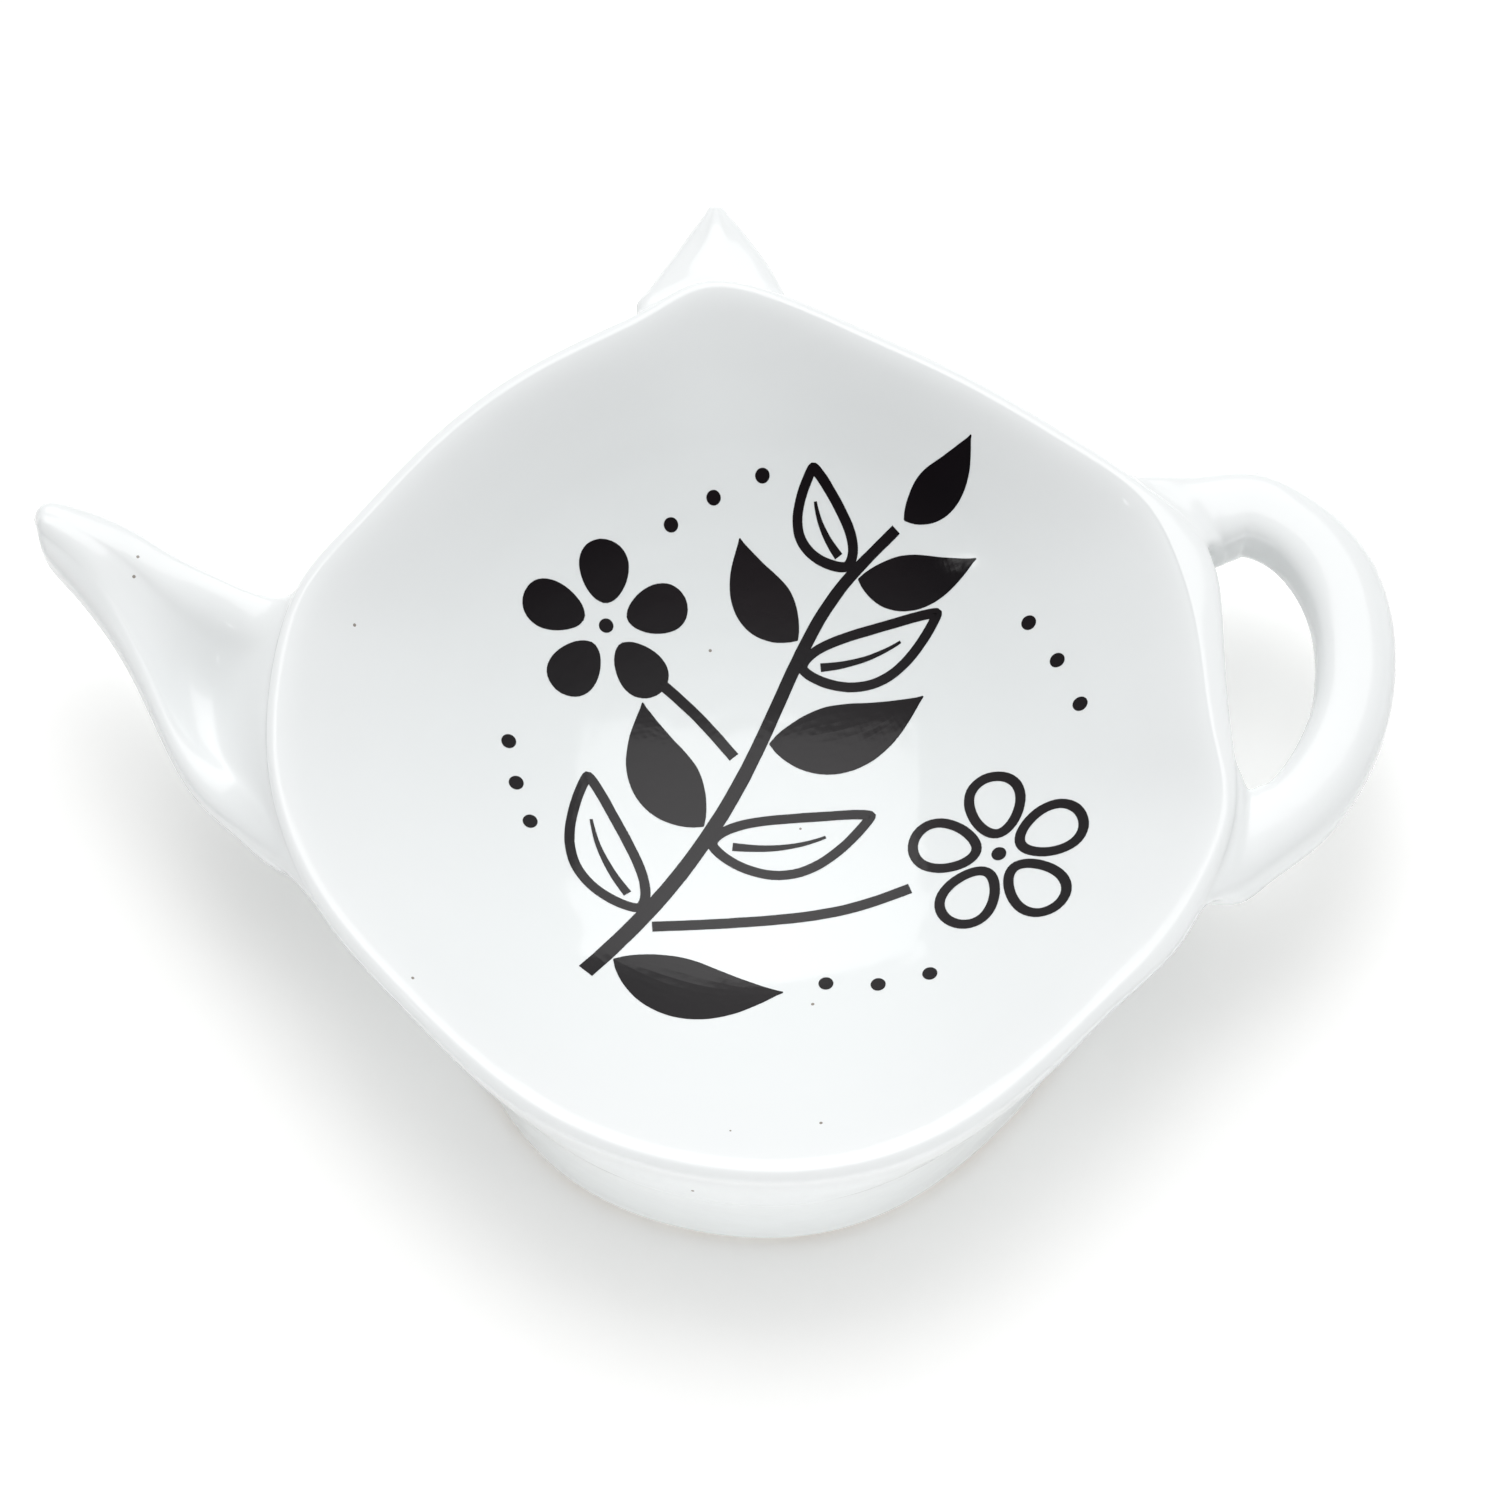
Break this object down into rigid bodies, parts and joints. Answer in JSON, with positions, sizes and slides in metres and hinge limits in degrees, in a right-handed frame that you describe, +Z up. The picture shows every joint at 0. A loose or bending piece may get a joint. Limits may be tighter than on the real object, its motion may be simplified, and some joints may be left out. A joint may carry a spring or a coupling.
{
  "type": "tea bag rest",
  "caption": "Glazed porcelain rest for used tea bags: a shallow basin on a closed foot wall, in a teapot's outline with spout, loop handle and lid knob, and a black sprig print.",
  "frame": {"origin": "middle of the whole outline, on the table under the unglazed foot ring", "axes": "+X from the spout towards the handle, +Y from the front of the foot towards the lid knob, +Z up"},
  "size_m": [0.119, 0.0942, 0.0187],
  "materials": {
    "glaze": "gloss",
    "biscuit": "matte",
    "print": "gloss"
  },
  "bodies": {
    "root": {"basin": "glaze", "foot_wall": "glaze", "foot_ring": "biscuit", "spout": "glaze", "handle": "glaze", "lid_knob": "glaze", "print_stem": "print", "print_solid_leaves": "print", "print_drawn_leaves": "print", "print_blossoms": "print", "print_dots": "print"}
  },
  "joints": []
}
